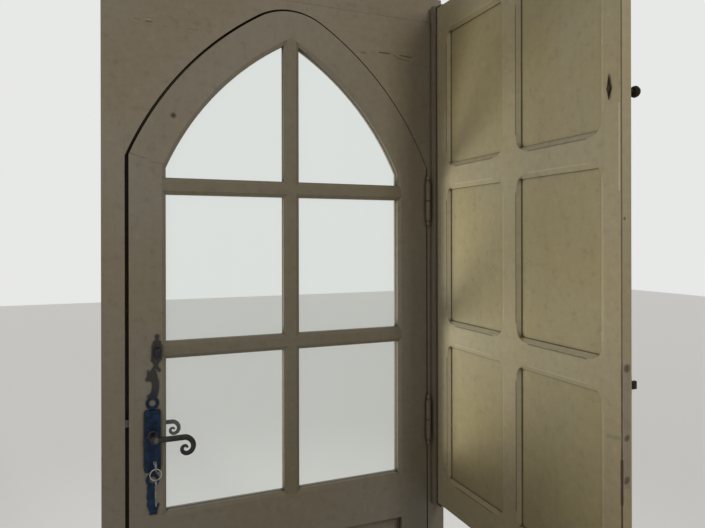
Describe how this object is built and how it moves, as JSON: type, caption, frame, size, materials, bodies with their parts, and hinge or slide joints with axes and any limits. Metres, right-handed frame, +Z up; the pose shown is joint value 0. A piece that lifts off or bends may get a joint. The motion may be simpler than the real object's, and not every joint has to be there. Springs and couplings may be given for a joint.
{
  "type": "arched wooden door",
  "caption": "Pointed-arch glazed timber door in its frame, with iron lever lock, lift-off hinges and a panelled inner shutter on pivots.",
  "frame": {"origin": "middle of the underside of the sill, halfway through the frame's depth", "axes": "+Z up, +X from the lock side to the hinge side, -Y into the room"},
  "size_m": [1.05, 0.868, 2.3],
  "materials": {
    "frame_paint": "aged satin paint",
    "leaf_paint": "aged satin paint",
    "shutter_paint": "aged satin paint",
    "clear_glass": "clear",
    "black_iron": "forged, blackened",
    "painted_iron": "painted over",
    "steel": "dull",
    "bright_steel": "worn bright",
    "rusty_iron": "dark with rust"
  },
  "bodies": {
    "frame": {"jamb_lock_side": "frame_paint", "jamb_hinge_side": "frame_paint", "frame_corner_left": "frame_paint", "frame_corner_right": "frame_paint", "frame_head": "frame_paint", "frame_sill": "frame_paint", "strike_plate": "steel", "hinge_frame_halves": "painted_iron", "shutter_batten": "frame_paint", "pivot_brackets": "steel"},
    "leaf": {"lock_stile": "leaf_paint", "hinge_stile": "leaf_paint", "arch_rail_left": "leaf_paint", "arch_rail_right": "leaf_paint", "mullion": "leaf_paint", "transom_lower": "leaf_paint", "transom_upper": "leaf_paint", "mid_rail": "leaf_paint", "bottom_rail": "leaf_paint", "leaf_muntin": "leaf_paint", "leaf_panel_left": "leaf_paint", "leaf_panel_right": "leaf_paint", "pane_head_left": "clear_glass", "pane_head_right": "clear_glass", "pane_middle_left": "clear_glass", "pane_middle_right": "clear_glass", "pane_lower_left": "clear_glass", "pane_lower_right": "clear_glass", "glazing_beads": "leaf_paint", "hinge_leaf_halves": "painted_iron", "latch_case": "steel", "lock_plate": "black_iron", "lever_box": "black_iron", "outside_plate": "black_iron"},
    "lever": {"lever_inside": "black_iron", "lever_outside": "black_iron", "lever_follower": "steel"},
    "latch": {"latch_bolt": "steel"},
    "turn": {"thumb_turn": "black_iron"},
    "night_bolt": {"night_bolt": "steel"},
    "key": {"key": "bright_steel"},
    "key_ring": {"key_ring": "bright_steel", "spare_key": "bright_steel"},
    "shutter": {"shutter_stile_hanging": "shutter_paint", "shutter_stile_free": "shutter_paint", "shutter_rail_bottom": "shutter_paint", "shutter_rail_lower": "shutter_paint", "shutter_rail_upper": "shutter_paint", "shutter_rail_top": "shutter_paint", "shutter_muntins": "shutter_paint", "shutter_panels_lower": "shutter_paint", "shutter_panels_middle": "shutter_paint", "shutter_panels_upper": "shutter_paint", "pivot_bushes": "steel", "edge_plate": "rusty_iron", "turn_rose": "rusty_iron", "bolt_plate": "rusty_iron"},
    "shutter_turn": {"turn_knob": "rusty_iron", "turn_catch": "rusty_iron"},
    "shutter_bolt": {"shutter_bolt": "rusty_iron"}
  },
  "joints": [
    {"name": "leaf_swing", "type": "hinge", "parent": "frame", "child": "leaf", "pos_m": [0.455, -0.0545, 0.939], "axis": [0, 0, 1], "range_deg": [0, 85]},
    {"name": "lever_turn", "type": "hinge", "parent": "leaf", "child": "lever", "pos_m": [-0.388, -0.106, 0.996], "axis": [0, 1, 0], "range_deg": [0, 40], "stiffness_Nm_per_rad": 1.5, "springref_deg": -34.38},
    {"name": "latch_slide", "type": "slide", "parent": "leaf", "child": "latch", "axis": [1, 0, 0], "range_m": [0, 0.018]},
    {"name": "night_turn", "type": "hinge", "parent": "leaf", "child": "turn", "pos_m": [-0.376, -0.06, 1.2155], "axis": [0, 1, 0], "range_deg": [0, 90]},
    {"name": "night_slide", "type": "slide", "parent": "leaf", "child": "night_bolt", "axis": [-1, 0, 0], "range_m": [0, 0.016]},
    {"name": "key_turn", "type": "hinge", "parent": "leaf", "child": "key", "pos_m": [-0.383, -0.086, 0.922], "axis": [0, 1, 0], "range_deg": [0, 90]},
    {"name": "ring_swing", "type": "hinge", "parent": "key", "child": "key_ring", "pos_m": [-0.383, -0.086, 0.9105], "axis": [0, 1, 0], "range_deg": [-60, 60]},
    {"name": "shutter_swing", "type": "hinge", "parent": "frame", "child": "shutter", "pos_m": [0.4905, -0.086, 0.677], "axis": [0, 0, 1], "range_deg": [-90, 0]},
    {"name": "shutter_knob_turn", "type": "hinge", "parent": "shutter", "child": "shutter_turn", "pos_m": [0.4905, -0.783, 1.836], "axis": [1, 0, 0], "range_deg": [0, 90]},
    {"name": "shutter_bolt_slide", "type": "slide", "parent": "shutter", "child": "shutter_bolt", "axis": [0, -1, 0], "range_m": [0, 0.018]}
  ],
  "couplings": [
    {"joint": "latch_slide", "follows": "lever_turn", "m_per_rad": 0.02578},
    {"joint": "night_slide", "follows": "night_turn", "m_per_rad": 0.01018}
  ]
}
